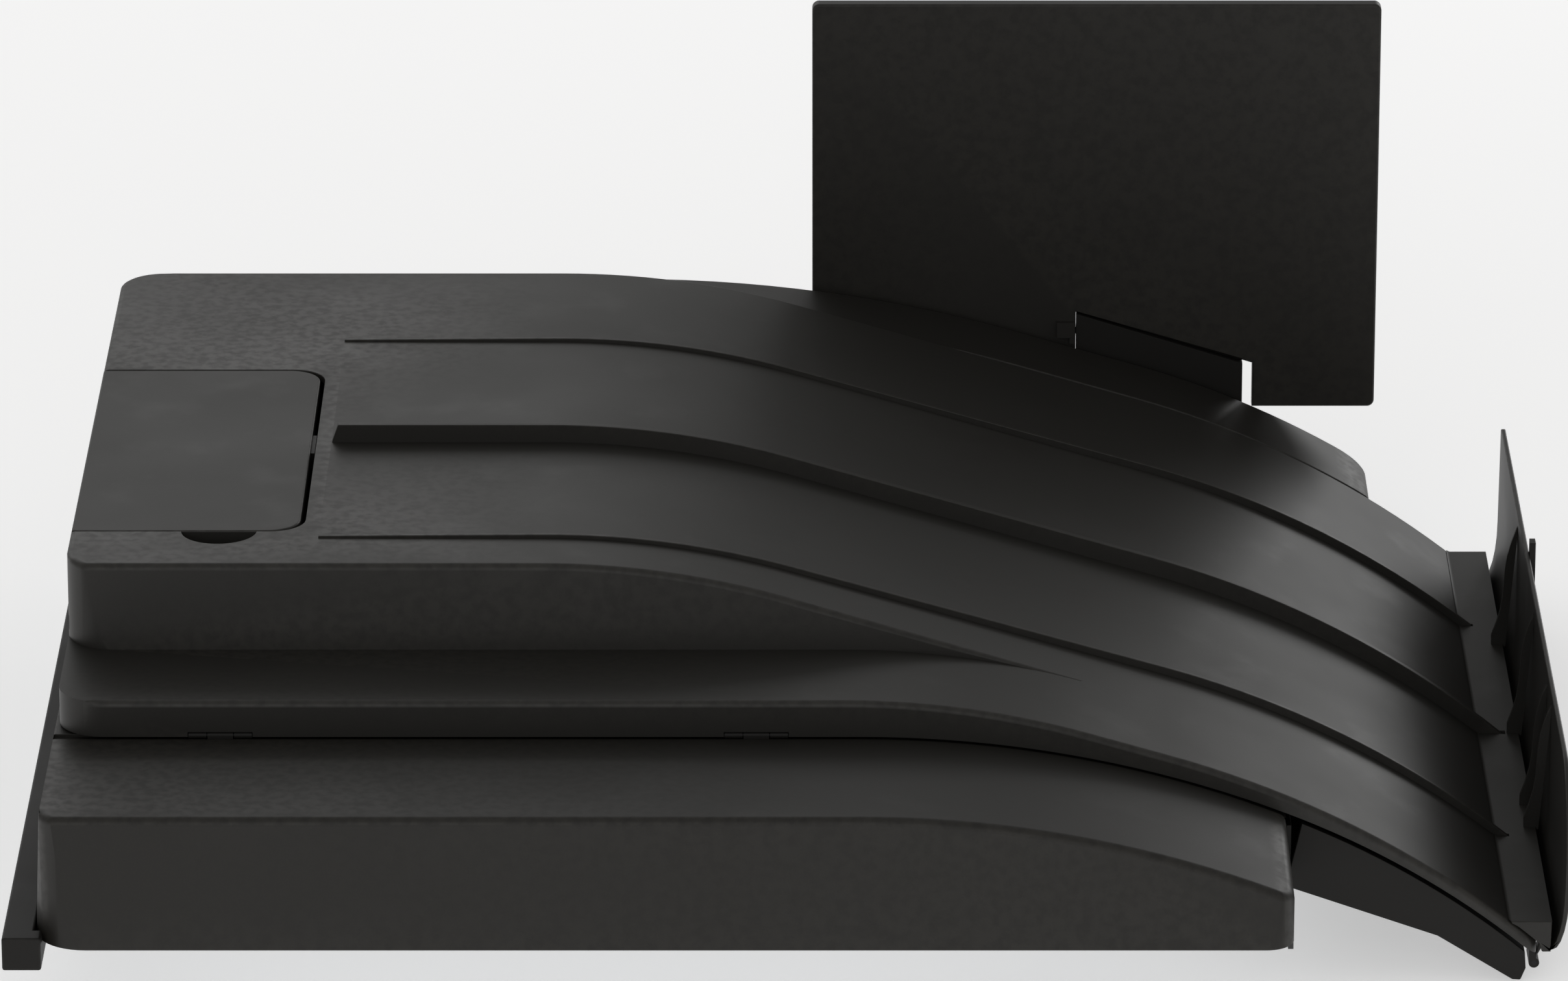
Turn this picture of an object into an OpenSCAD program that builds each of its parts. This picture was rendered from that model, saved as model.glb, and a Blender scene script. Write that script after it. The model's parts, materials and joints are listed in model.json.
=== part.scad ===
// Flatbed scanner with a sheet feeder in its lid, a curved sheet tray and a tilting display.
// Frame: X runs along the tray, Y towards the operator, Z up. The origin is the centre of the
// base's underside. All sizes are in millimetres.

/* [Base] */
// Length of the base along X
base_w = 486; // [480:1:490]
// Depth of the base along Y
base_d = 557; // [555:1:560]
// Height of the base's flat top
base_h = 52.7; // [52:0.1:54]
// Wall thickness of the mouldings
wall = 2.5; // [2:0.1:3]
// Lean of the near wall over its height
near_lean = 4.6; // [0:0.1:6]
// Lean of the side walls over their height
side_lean = 2.5; // [0:0.1:4]
// X at which the base's top starts to curve down
shoulder_x = 76; // [74:1:78]

/* [Lid] */
// Gap between the base's top and the lid
lid_gap = 0.8; // [0.6:0.1:1]
// Height of the feeder housing's flat top
deck_h = 103; // [102:0.5:106]
// Height of the lid's lower step
step_h = 68.2; // [67:0.1:70]
// Slope of the straight stretch of the tray, in degrees
tray_slope = 16.4; // [16:0.1:17]
// X of the lid's left edge
lid_left = -239; // [-240:0.5:-238]
// X of the tray's right end
tray_end = 343; // [342:0.5:344]
// Y of the lid's near wall
lid_near = -189.5; // [-190:0.5:-189]
// Y of the lid's far edge
lid_far = 231; // [230:0.5:231]

/* [Feeder cover] */
// Y of the cover's near edge
cover_near = -90; // [-92:0.5:-88]
// Y of the cover's far edge
cover_far = 103.5; // [102:0.5:105]
// X of the cover's right edge
cover_right = -148; // [-150:0.5:-147]
// Radius of the finger notch
notch_r = 15; // [14:0.5:16]

/* [Sheet stop] */
// Height of the stop wall's top edge
stop_top = 31.6; // [28:0.2:36]
// Thickness of the stop wall
stop_t = 2; // [1.6:0.1:2.4]

/* [Display] */
// Width of the display
display_w = 245.3; // [240:0.1:246]
// Z of the display's top edge
display_top = 207.2; // [200:0.1:215]
// Z of the display's lower edge
display_low = 23.5; // [22:0.1:26]
// Thickness of the display
display_t = 6; // [6:0.1:7]

/* [Mounting] */
// Radius of the four mounting holes in the base pan
mount_hole_r = 2.25; // [2:0.05:2.75]
// Hole spacing along X
mount_x = 400; // [380:5:410]
// Hole spacing along Y
mount_y = 440; // [420:5:450]

/* [Hidden] */
$fa = 4;
$fs = 0.4;
fit = 0.05;          // radial clearance of a running shaft
clear = 0.3;         // clearance between moving faces

// Base
base_left = -base_w / 2;
base_right = base_w / 2;
base_near = -base_d / 2;
base_far = base_d / 2;
shoulder_r = 450;    // first bend of the base's top
edge_r = 350;        // second bend, under the tray's end
shoulder_turn = asin((base_right - shoulder_x) / shoulder_r);
pan_t = 1.2;
groove_depth = 1.2;
rebate_h = 8.2;
glass_t = 3;
glass_top = base_h - 0.2;
frame_low = base_h - 6.2;
window = [-168, -135, 60, 177];      // platen opening: X0, Y0, X1, Y1
feed_window = [-220, -135, -202, 170];
glass_lip = 6;
screw_r = 1.5;
screw_spots = [for (x = [-205, 0, 195], y = [-262, 262]) [x, y]];
socket = [111, -234, 173, -214];
feed_lip = 4;

// Tray surface: flat deck, bend, straight slope, bend
deck_r = 353;
step_r = 340;
tray_r = 400;
deck_bend_x = -51;
line_x = deck_bend_x + deck_r * sin(tray_slope);
line_z = deck_h - deck_r * (1 - cos(tray_slope));
tray_bend_x = 197;
console_h = 84.5;
console_r = 590;
console_end = 298;
console_near = lid_far + 1.5;
body_near = -132.2;  // foot of the feeder housing's near wall
body_lean = 3;

// Hinge of the lid
hinge_y = -187.9;
hinge_z = 53.7;
hinge_x = [-180, 30];
hinge_w = 10;
ear_w = 7;
knuckle_r = 1.5;
lid_pin_r = 0.8;

// Feeder
cover_gap = 0.7;
cover_exit = 2;
skirt_low = 88;
cover_axis = [lid_left + 2.8, skirt_low + 1.8];   // X and Z
cover_knuckle_y = [-60, 73];
notch_x = -180;
feeder_near = -121;
feeder_far = 176;
roller_near = -118;
roller_far = 170;
gear_y = feeder_far + 3;
gear_w = 6;
idler_at = [-200, 83];
idler_teeth = 24;
roller_teeth = 20;
motor_teeth = 12;
mesh_gap = (idler_teeth + roller_teeth) / 2;
feed_dir = 185.2;
backing_dir = 256.9;
exit_dir = 0;
feed_at = idler_at + mesh_gap * [cos(feed_dir), sin(feed_dir)];
backing_at = idler_at + mesh_gap * [cos(backing_dir), sin(backing_dir)];
exit_at = idler_at + mesh_gap * [cos(exit_dir), sin(exit_dir)];
motor_at = exit_at + [(roller_teeth + motor_teeth) / 2, 0];
feed_r = 7.3;
backing_r = 7.5;
exit_r = 7.7;
pinch_r = 5;
exit_pinch_r = 4;
nip = 0.3;
feed_pinch_at = feed_at - [0, feed_r + pinch_r + nip];
exit_pinch_at = exit_at + (exit_r + exit_pinch_r + nip) * [cos(40), sin(40)];
shaft_r = 3;
pinch_shaft_r = 2;

// Carriage and its drive
carriage = [-230, -146, -192, 188];
carriage_low = 16;
carriage_top = 45.2;
rod_r = 4;
rod_at = [-60, 10];  // Y and Z
belt_y = 30;
belt_low = 5;
belt_w = 5;
belt_t = 1.2;
pulley_r = 7;
idler_x = -228;
motor_x = 120;

// Sheet stop
bar_left = 333;
bar_right = 348;
bar_top = -25;
bar_low = -38;
stop_axis = [342.2, -43.8];          // X and Z
stop_wall_top_x = 354.5;
stop_knuckle_r = 2.1;
stop_pin_r = 1;
tray_lugs = [-186, -60, 60, 184];    // near face of each lug on the tray, along Y
lug_w = 8;
rib_start = -140;
guide_ribs = [[14.5, 3, 342.7, 7.5, 7.5], [140, 2, 337, 0.8, 4], [-98.5, 2, 337, 0.8, 4]];
stop_ribs = [-88, -64, 16, 119];      // middle of each wavy rib, along Y

// Display
display_left = 56.7;
display_right = display_left + display_w;
display_back_y = base_far + 4;
display_front_y = display_back_y + display_t;
display_axis = [display_back_y + 2.5, 58];        // Y and Z
cut_left = 171.2;
cut_right = 248.6;
arm_left = cut_left + 0.4;
cut_high = 67.7;
cut_low = 43.5;
screen_area = [71, 80, 288, 200];    // X0, Z0, X1, Z1
button_at = [-200, 255];
button_r = 7;
button_rise = 1.2;

// Points on an arc that starts at [x, z], bending down from slope a0 to slope a1.
function bend(x, z, r, a0, a1) =
  let (steps = ceil((a1 - a0) / 1.2))
  [for (i = [0 : steps]) let (a = a0 + (a1 - a0) * i / steps)
    [x + r * (sin(a) - sin(a0)), z - r * (cos(a0) - cos(a))]];

// Slope that an arc of radius r, starting at slope a0, has after running dx along X.
function slope_after(r, a0, dx) = asin(sin(a0) + dx / r);

// Profile that is flat at height h, then bends with radius r onto the tray's straight slope.
function tray_profile(h, r, x0, x1, drop = 0) =
  let (meet = line_x + (line_z - h) / tan(tray_slope), start = meet - r * tan(tray_slope / 2),
       bend_z = line_z - (tray_bend_x - line_x) * tan(tray_slope))
  [for (p = concat([[x0, h]], bend(start, h, r, 0, tray_slope),
       bend(tray_bend_x, bend_z, tray_r, tray_slope, slope_after(tray_r, tray_slope, x1 - tray_bend_x))))
    p - [0, drop]];

// Profile of the base's top, lifted by rise. The lid's underside follows it.
function base_profile(rise, x0, x1) =
  let (bend_z = base_h - shoulder_r * (1 - cos(shoulder_turn)))
  [for (p = concat([[x0, base_h]], bend(shoulder_x, base_h, shoulder_r, 0, shoulder_turn),
       x1 > base_right
         ? bend(base_right, bend_z, edge_r, shoulder_turn,
                slope_after(edge_r, shoulder_turn, x1 - base_right))
         : []))
    p + [0, rise]];

function last(list) = list[len(list) - 1];

// Height of the tray's underside at x.
function tray_under(x) = last(base_profile(lid_gap, 0, x))[1];

// Tooth angle of a gear that meshes with another along direction dir.
function mesh_phase(dir, teeth, other_phase, other_teeth) =
  dir + 180 + (180 - (other_phase - dir) * other_teeth) / teeth;

// Solid below a profile, between two depths along Y.
module under(profile, y0, y1, floor = -80) {
  translate([0, y1, 0]) rotate([90, 0, 0]) linear_extrude(y1 - y0)
    polygon(concat(profile, [[last(profile)[0], floor], [profile[0][0], floor]]));
}

// Sheet between two profiles.
module between(upper, lower, y0, y1) {
  translate([0, y1, 0]) rotate([90, 0, 0]) linear_extrude(y1 - y0)
    polygon(concat(upper, [for (i = [len(lower) - 1 : -1 : 0]) lower[i]]));
}

// Rectangle with corner radii in the order near left, near right, far right, far left.
module plan(x0, y0, x1, y1, r) {
  corners = [[x0, y0, 1, 1], [x1, y0, -1, 1], [x1, y1, -1, -1], [x0, y1, 1, -1]];
  difference() {
    translate([x0, y0]) square([x1 - x0, y1 - y0]);
    for (i = [0 : 3])
      if (r[i] > 0)
        translate([corners[i][0], corners[i][1]]) scale([corners[i][2], corners[i][3]])
          difference() {
            translate([-1, -1]) square(r[i] + 1);
            translate([r[i], r[i]]) circle(r[i]);
          }
  }
}

module box(low, high) {
  translate(low) cube(high - low);
}

module block(area, z0, z1) {
  box([area[0], area[1], z0], [area[2], area[3], z1]);
}

function grow(area, by) = [area[0] - by, area[1] - by, area[2] + by, area[3] + by];

module rod_x(x0, x1, at, r) {
  translate([x0, at[0], at[1]]) rotate([0, 90, 0]) cylinder(r = r, h = x1 - x0);
}

module rod_y(y0, y1, at, r) {
  translate([at[0], y1, at[1]]) rotate([90, 0, 0]) cylinder(r = r, h = y1 - y0);
}

// Spur gear of module 1 on an axis along Y, with a tooth centred at angle phase.
module gear(at, teeth, phase, y0, y1) {
  half = 360 / teeth / 4;
  translate([at[0], y1, at[1]]) rotate([90, 0, 0]) linear_extrude(y1 - y0)
    polygon([for (i = [0 : teeth - 1], p = [[-1.25, -1.35], [0.85, -0.5], [0.85, 0.5], [-1.25, 1.35]])
      let (a = phase + 360 * i / teeth + p[1] * half, r = teeth / 2 + p[0])
      [r * cos(a), r * sin(a)]]);
}

// ---- Base ----

// Outer or inner block of the base: shrink is the distance inside the outer face.
module base_block(shrink, rise) {
  lean_near = atan(near_lean / base_h);
  lean_side = atan(side_lean / base_h);
  intersection() {
    under(base_profile(rise, base_left - 1, base_right), base_near, base_far, -1);
    translate([0, 0, shrink > 0 ? -1 : 0]) linear_extrude(base_h + 2)
      plan(base_left + shrink, base_near + shrink, base_right - shrink, base_far - shrink,
           [20 - shrink, 11 - shrink, 11 - shrink, 11 - shrink]);
    translate([0, base_near + shrink, 0]) rotate([-lean_near, 0, 0]) translate([-300, 0, -50])
      cube([600, 700, 160]);
    translate([base_left + shrink, 0, 0]) rotate([0, lean_side, 0]) translate([0, -300, -50])
      cube([700, 700, 160]);
  }
}

module base_shell() {
  color("#343332") difference() {
    union() {
      difference() {
        base_block(0, 0);
        base_block(wall, -wall - 0.3);
      }
      block([-230, -147, 72, 189], frame_low, base_h - 1);
      block([base_left + 4, lid_near - 6, 72, lid_near + 12], base_h - 5, base_h - 1);
      // Screw bosses, each webbed to the nearest wall
      for (p = screw_spots) {
        translate([p[0], p[1], pan_t]) cylinder(r = 4, h = 16);
        box([p[0] - 1, min(p[1], sign(p[1]) * 276.5), pan_t],
            [p[0] + 1, max(p[1], sign(p[1]) * 276.5), pan_t + 16]);
      }
    }
    for (p = screw_spots) translate([p[0], p[1], 0]) cylinder(r = screw_r, h = 13);
    block(window, frame_low - 1, base_h + 1);
    block(grow(window, glass_lip + 0.2), glass_top - glass_t, base_h + 1);
    block(feed_window, frame_low - 1, base_h + 1);
    block(grow(feed_window, feed_lip + 0.2), glass_top - glass_t, base_h + 1);
    // Well under the backing roller's gear
    block([backing_at[0] - 9, gear_y - 1, backing_at[0] + 9, gear_y + gear_w + 2], base_h - 3.6,
          base_h + 1);
    // Groove that the lid's near wall swings through
    between(base_profile(1, lid_left - 1.5, base_right),
            base_profile(-groove_depth, lid_left - 1.5, base_right), lid_near - 0.3, lid_near + 5);
    // Rebate for the right flange
    box([base_right - wall - 0.1, -265.3, -1], [base_right + 1, 265.3, rebate_h]);
  }
}

module mount_holes(r, h) {
  for (x = [-1, 1], y = [-1, 1])
    translate([x * mount_x / 2, y * mount_y / 2, -1]) cylinder(r = r, h = h);
}

module base_pan() {
  color("#8a8c8f") difference() {
    linear_extrude(pan_t)
      plan(base_left + 3, base_near + 3, base_right - 3, base_far - 3, [17, 8, 8, 8]);
    mount_holes(mount_hole_r, 4);
    for (p = screw_spots) translate([p[0], p[1], -1]) {
      cylinder(r = screw_r + 0.1, h = 4);
      cylinder(r = 2.9, h = 1.8);
    }
    block(grow(socket, 1), -1, 3);
  }
}

module pan_screws() {
  color("#b8babd") for (p = screw_spots) translate([p[0], p[1], 0.05]) {
    cylinder(r = screw_r, h = 12);
    cylinder(r = 2.8, h = 0.7);
  }
}

module platen_glass() {
  color("#cfe0e4") block(grow(window, glass_lip), glass_top - glass_t, glass_top);
}

module feed_glass() {
  color("#cfe0e4") block(grow(feed_window, feed_lip), glass_top - glass_t, glass_top);
}

module calibration_strip() {
  color("white") block([-194, -135, -182, 177], frame_low - 0.6, frame_low);
}

module guide_rod() {
  color("#c8cacc") rod_x(-238, 108, rod_at, rod_r);
}

module rod_holders() {
  color("#202020") difference() {
    for (x = [-239, 100]) box([x, rod_at[0] - 8, pan_t], [x + 7, rod_at[0] + 8, 17]);
    rod_x(-250, 120, rod_at, rod_r);
  }
}

module slide_rail() {
  color("#9a9c9f") difference() {
    box([-236, 168, pan_t], [108, 182, 12]);
    box([-237, 169, 0], [109, 181, 11]);
  }
}

module drive_motor() {
  color("#55585c") difference() {
    union() {
      translate([motor_x, belt_y, 14]) cylinder(r = 17.5, h = 20);
      box([motor_x - 24, belt_y - 18, 12.8], [motor_x + 24, belt_y + 18, 14]);
      for (x = [-24, 22.8]) box([motor_x + x, belt_y - 18, pan_t], [motor_x + x + 1.2, belt_y + 18, 14]);
    }
    translate([motor_x, belt_y, 2]) cylinder(r = 2.5 + fit, h = 28);
    // Way for the belt through the bracket's near leg
    box([motor_x - 26, belt_y - 11, 3], [motor_x - 20, belt_y + 11, 11.8]);
  }
}

module idler_post() {
  color("#c8cacc") translate([idler_x, belt_y, pan_t]) {
    cylinder(r = 4, h = 2);
    cylinder(r = 2, h = 12);
  }
}

module pulley(x, bore) {
  translate([x, belt_y, 0]) difference() {
    union() {
      translate([0, 0, belt_low - 0.3]) cylinder(r = pulley_r, h = belt_w + 0.6);
      translate([0, 0, belt_low + belt_w + 0.3]) cylinder(r = pulley_r + 2, h = 1);
    }
    if (bore > 0) cylinder(r = bore, h = 30);
  }
}

module motor_pulley() {
  color("#d9d9d9") {
    pulley(motor_x, 0);
    translate([motor_x, belt_y, 3.5]) cylinder(r = 2.5, h = 25);
  }
}

module idler_pulley() {
  color("#e4e4e0") pulley(idler_x, 2 + fit);
}

module loop_area(r) {
  translate([idler_x, belt_y]) circle(r);
  translate([motor_x, belt_y]) circle(r);
  translate([idler_x, belt_y - r]) square([motor_x - idler_x, 2 * r]);
}

module drive_belt() {
  color("#161616") translate([0, 0, belt_low]) linear_extrude(belt_w) difference() {
    loop_area(pulley_r + clear + belt_t);
    loop_area(pulley_r + clear);
  }
}

module main_board() {
  color("#1f6b3a") block([130, 70, 225, 205], 6, 7.6);
  color("#202020") {
    block([150, 90, 180, 120], 7.6, 10);
    block([190, 150, 205, 165], 7.6, 9.6);
    block([140, 180, 170, 200], 7.6, 12);
    for (y = [96, 108, 120]) translate([200, y, 7.6]) cylinder(r = 4, h = 10);
  }
  color("#c8b070") for (x = [135, 220], y = [75, 200]) translate([x, y, pan_t]) cylinder(r = 3, h = 4.8);
}

module carriage_cable() {
  flat = 0.4;
  color("#e8e8e4") {
    box([-205, 90, 1.6], [129, 110, 1.6 + flat]);
    translate([-205, 110, 7.6]) rotate([90, 0, 0]) linear_extrude(20) difference() {
      circle(6);
      circle(6 - flat);
      translate([0, -10]) square(20);
    }
    box([-205, 90, 13.2], [-150, 110, 13.6]);
    box([129, 90, 1.6], [129 + flat, 110, 7]);
  }
}

module dock_socket() {
  color("#181818") difference() {
    block(socket, 0.2, 16);
    block(grow(socket, -4), -1, 13);
  }
}

module left_rail() {
  rail_left = -255.4;
  rail_right = -240.3;
  beside = base_left - 0.3;
  color("#262524") {
    box([rail_left, base_near, -8.6], [beside, 228, 4.9]);
    box([beside, base_near, -8.6], [rail_right, 228, -0.1]);
    box([beside, base_near, -8.6], [rail_right, base_near + 9, 4.9]);
  }
}

module right_flange() {
  color("#4a4b4d") {
    box([base_right - 2.1, -265, -5], [base_right, 265, 8]);
    box([226, -265, pan_t], [base_right - 2.1, 265, pan_t + 1.5]);
  }
}

// Two side plates that carry the tray's end, tied by a floor plate
module tray_bracket() {
  top = [for (p = base_profile(lid_gap - 3, base_right, 338.5)) if (p[0] >= base_right + 0.5) p];
  ledge = [for (p = top) if (p[0] > 294) p];
  plate = concat(top, [[339, -46], [337, -51], [333.8, -50.8], [303.9, -32.2], [base_right + 0.5, -11]]);
  color("#2b2a29") {
    // Inward ledge on the top edge of each side plate
    for (y = [-186.5, 228 - 12]) translate([0, y + 12, 0]) rotate([90, 0, 0]) linear_extrude(12)
      polygon(concat(ledge, [for (i = [len(ledge) - 1 : -1 : 0]) ledge[i] - [0, 1.8]]));
    for (y = [-186.5, 228 - 3]) translate([0, y + 3, 0]) rotate([90, 0, 0]) linear_extrude(3)
      polygon(plate);
    translate([0, 225.5, 0]) rotate([90, 0, 0]) linear_extrude(409.5)
      polygon([[base_right + 0.5, -11], [303.9, -32.2], [322, -43.5], [322, -41], [303.9, -29.7],
               [base_right + 2.5, -9], [base_right + 2.5, 14], [base_right + 0.5, 14]]);
  }
}

module console_shell() {
  outer = tray_profile(console_h, console_r, base_left + side_lean, console_end);
  inner_left = base_left + side_lean + wall;
  color("#343332") difference() {
    intersection() {
      between(outer, base_profile(0.4, base_left + side_lean, console_end), console_near, base_far);
      translate([0, 0, -40]) linear_extrude(140)
        plan(base_left + side_lean, console_near, console_end, base_far, [0, 0, 12, 12]);
    }
    intersection() {
      between(tray_profile(console_h, console_r, inner_left, console_end - wall, wall + 0.4),
              base_profile(-1, inner_left, console_end - wall), console_near + wall, base_far - wall);
      translate([0, 0, -40]) linear_extrude(140)
        plan(inner_left, console_near + wall, console_end - wall, base_far - wall, [0, 0, 9, 9]);
    }
    translate([button_at[0], button_at[1], 70]) cylinder(r = button_r + clear, h = 20);
  }
}

module power_button() {
  color("#1c1c1c") translate([button_at[0], button_at[1], 0]) {
    translate([0, 0, 78]) cylinder(r = button_r, h = console_h + button_rise - 78);
    translate([0, 0, 76.5]) cylinder(r = button_r + 2, h = 1.5);
  }
}

// Line along the top of the cut-out in the display, lowered by drop
function cut_edge(x, drop = 0) =
  cut_high + (cut_low - cut_high) * (x - cut_left) / (cut_right - cut_left) - drop;

module display_arm() {
  color("#1d1c1b") {
    difference() {
      union() {
        upright(display_back_y - 0.4, display_back_y + 3)
          polygon([[arm_left, 10], [arm_left, cut_edge(arm_left, 1.2)],
                   [cut_right - 4.3, cut_edge(cut_right - 4.3, 1.2)], [cut_right - 4.3, 10]]);
        rod_x(arm_left, 190, display_axis, 2.9);
        box([arm_left, base_far, 10], [cut_right - 4.3, display_back_y + 5, 22]);
      }
      rod_x(cut_left - 10, 188, display_axis, 1.5);
    }
  }
}

module display_pin() {
  color("#c8cacc") rod_x(cut_left - 7, 188, display_axis, 1.5);
}

// Knuckles on the base, in the gap under the lid's near wall
module hinge_blocks() {
  color("#262524") difference() {
    for (x = hinge_x) {
      rod_x(x, x + hinge_w, [hinge_y, hinge_z], knuckle_r);
      box([x, hinge_y - knuckle_r, base_h - groove_depth], [x + hinge_w, hinge_y + knuckle_r, hinge_z]);
    }
    for (x = hinge_x) rod_x(x - 1, x + hinge_w + 1, [hinge_y, hinge_z], lid_pin_r);
  }
}

// ---- Carriage ----

module carriage_body() {
  color("#1b1b1b") difference() {
    union() {
      block(carriage, carriage_low, carriage_top - 1);
      box([carriage[0], rod_at[0] - 9, 3], [carriage[2], rod_at[0] + 9, carriage_low + 1]);
      box([carriage[0] + 4, 171, 12 + clear], [carriage[2] - 4, 179, carriage_low + 1]);
    }
    block([carriage[0] + 4, carriage[1] + 4, carriage[2] - 4, carriage[3] - 4], 26, 60);
    rod_x(carriage[0] - 1, carriage[2] + 1, rod_at, 6);
  }
}

module carriage_bushes() {
  color("#b08d57") difference() {
    for (x = [carriage[0], carriage[2] - 10]) rod_x(x, x + 10, rod_at, 6);
    rod_x(carriage[0] - 1, carriage[2] + 1, rod_at, rod_r + fit);
  }
}

module sensor_bar() {
  color("#2b2d30") difference() {
    block([-224, -140, -198, 182], 26, 44);
    block([-214.2, -136, -207.8, 178], 34, 50);
    for (x = [-220, -205]) block([x - 0.1, -136, x + 3.1, 178], 41, 50);
  }
}

module lens_strip() {
  color("#4d5a66") block([-214, -135, -208, 177], 34, 44.5);
}

module lamp_bars() {
  color("#f2f2e6") for (x = [-220, -205]) block([x, -135, x + 3, 177], 41, 44.8);
}

module belt_clamp() {
  strand = belt_y - pulley_r - clear - belt_t;
  color("#d0d0cc") difference() {
    box([-212, strand - 3, 3], [-198, strand + belt_t + 3, carriage_low]);
    box([-213, strand - 0.4, belt_low - 0.4], [-197, strand + belt_t + 0.4, belt_low + belt_w + 0.4]);
    box([-213, strand - 0.4, 2], [-197, strand + 0.8, belt_low]);
  }
}

// ---- Lid ----

module lid_outer() {
  difference() {
    union() {
      // Lower step, running on into the tray
      intersection() {
        between(tray_profile(step_h, step_r, lid_left, tray_end),
                base_profile(lid_gap, lid_left, tray_end), lid_near, lid_far);
        translate([0, 0, -60]) linear_extrude(180)
          plan(lid_left, lid_near, tray_end, lid_far, [18, 6, 0, 18]);
      }
      // Feeder housing and deck
      intersection() {
        between(tray_profile(deck_h, deck_r, lid_left, tray_end),
                base_profile(lid_gap + 3, lid_left, tray_end), body_near, lid_far);
        translate([0, 0, -60]) linear_extrude(180)
          plan(lid_left, body_near, tray_end, lid_far, [18, 0, 0, 18]);
        translate([0, body_near, step_h]) rotate([-atan(body_lean / (deck_h - step_h)), 0, 0])
          translate([-300, 0, -120]) cube([700, 400, 200]);
      }
    }
  }
}

// Hollow under a top at height h, inside walls that start at near
module hollow(h, r, near) {
  end = tray_end - 12;
  intersection() {
    between(tray_profile(h, r, lid_left + wall, end, wall + 0.3), base_profile(-5, lid_left + wall, end),
            near + wall, lid_far - wall);
    translate([0, 0, -60]) linear_extrude(180)
      plan(lid_left + wall, near + wall, end, lid_far - wall, [18 - wall, 0, 0, 18 - wall]);
  }
}

// Guide rib on the deck and tray, rib = [near face, thickness, end X, height at start, height at end].
// Its start slants over the length lead.
module guide_rib(rib, lead) {
  x0 = rib_start;
  surface = tray_profile(deck_h, deck_r, x0, rib[2]);
  span = rib[2] - x0;
  translate([0, rib[0] + rib[1], 0]) rotate([90, 0, 0]) linear_extrude(rib[1])
    polygon(concat([for (p = surface)
                     p + [p[0] == x0 ? lead : 0, rib[3] + (rib[4] - rib[3]) * (p[0] - x0) / span]],
                   [for (i = [len(surface) - 1 : -1 : 0]) surface[i] - [0, 1]]));
}

module cover_plan(grow_by) {
  plan(lid_left - 2, cover_near - grow_by, cover_right + grow_by * cover_exit / cover_gap,
       cover_far + grow_by, [0, 13 + grow_by, 13 + grow_by, 0]);
}

module lid_shell() {
  color("#3a3938") difference() {
    union() {
      difference() {
        lid_outer();
        hollow(step_h, step_r, lid_near);
        hollow(deck_h, deck_r, body_near + body_lean);
      }
      guide_rib(guide_ribs[0], 3);
      for (i = [1, 2]) guide_rib(guide_ribs[i], 0);
      // Stiffening ribs under the tray
      intersection() {
        union() {
          for (y = [-120, -40, 60, 150]) box([150, y, -60], [325, y + 2, 80]);
        }
        between(tray_profile(step_h, step_r, 150, 325, wall), base_profile(lid_gap + 1, 150, 325),
                -180, 200);
      }
    }
    // Opening under the feeder cover, with its left side
    translate([0, 0, skirt_low - 2]) linear_extrude(40) cover_plan(cover_gap);
    // Finger notch
    translate([notch_x, cover_near, 84]) cylinder(r = notch_r, h = 40);
    // Sheet entry in the left wall
    box([lid_left - 1, roller_near, 71.2], [lid_left + wall + 1, roller_far, 77.2]);
    // Room for the hinge knuckles
    for (x = hinge_x)
      box([x - ear_w - 0.7, lid_near - 1, 40],
          [x + hinge_w + ear_w + 0.7, lid_near + wall + 0.01, hinge_z + knuckle_r + 0.3]);
  }
}

module lid_liner() {
  inner_left = lid_left + wall + 0.2;
  color("#2b2a29") difference() {
    union() {
      intersection() {
        between(base_profile(lid_gap + 2, inner_left, 140), base_profile(lid_gap, inner_left, 140),
                lid_near + wall + 6, lid_far - wall - 0.2);
        linear_extrude(80)
          plan(inner_left, lid_near + wall + 0.2, 140, lid_far - wall - 0.2, [16, 0, 0, 16]);
      }
      block([-182, -149, 74, 191], base_h + lid_gap, 60);
    }
    block([-176.5, -143.5, 68.5, 185.5], 50, 58);
    // Feed gap over the feeder glass
    block([-226, -141, -186, 190], 50, 70);
  }
}

module foam_pad() {
  color("#9a9a98") block([-176, -143, 68, 185], 54.2, 58);
}

module backing_sheet() {
  color("white") block([-176, -143, 68, 185], 53.2, 54.2);
}

// Knuckles on the lid, one each side of the base's, on leaves behind the lid's near wall
module lid_hinge_ears() {
  leaf_y = lid_near + wall;
  color("#262524") difference() {
    for (x = hinge_x, side = [-ear_w - 0.4, hinge_w + 0.4]) translate([x + side, 0, 0]) {
      rod_x(0, ear_w, [hinge_y, hinge_z], knuckle_r);
      box([0, leaf_y, hinge_z], [ear_w, leaf_y + 1.2, step_h - wall - 0.35]);
    }
    for (x = hinge_x) rod_x(x - 20, x + 40, [hinge_y, hinge_z], lid_pin_r + fit);
  }
}

module lid_hinge_pins() {
  color("#c8cacc") for (x = hinge_x)
    rod_x(x - ear_w, x + hinge_w + ear_w, [hinge_y, hinge_z], lid_pin_r);
}

// ---- Feeder ----

idler_phase = 0;
feed_phase = mesh_phase(feed_dir, roller_teeth, idler_phase, idler_teeth);
backing_phase = mesh_phase(backing_dir, roller_teeth, idler_phase, idler_teeth);
exit_phase = mesh_phase(exit_dir, roller_teeth, idler_phase, idler_teeth);
motor_phase = mesh_phase(0, motor_teeth, exit_phase, roller_teeth);
idler_bore = 2;

module frame_outline(y0) {
  translate([0, y0 + 2.5, 0]) rotate([90, 0, 0]) linear_extrude(2.5)
    polygon([[-229.4, 61], [-214, 56.5], [-184, 56.5], [-184, 60.5], [-146, 60.5], [-146, 92], [-162, 97],
             [-212, 97], [-229.4, 88]]);
}

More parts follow.
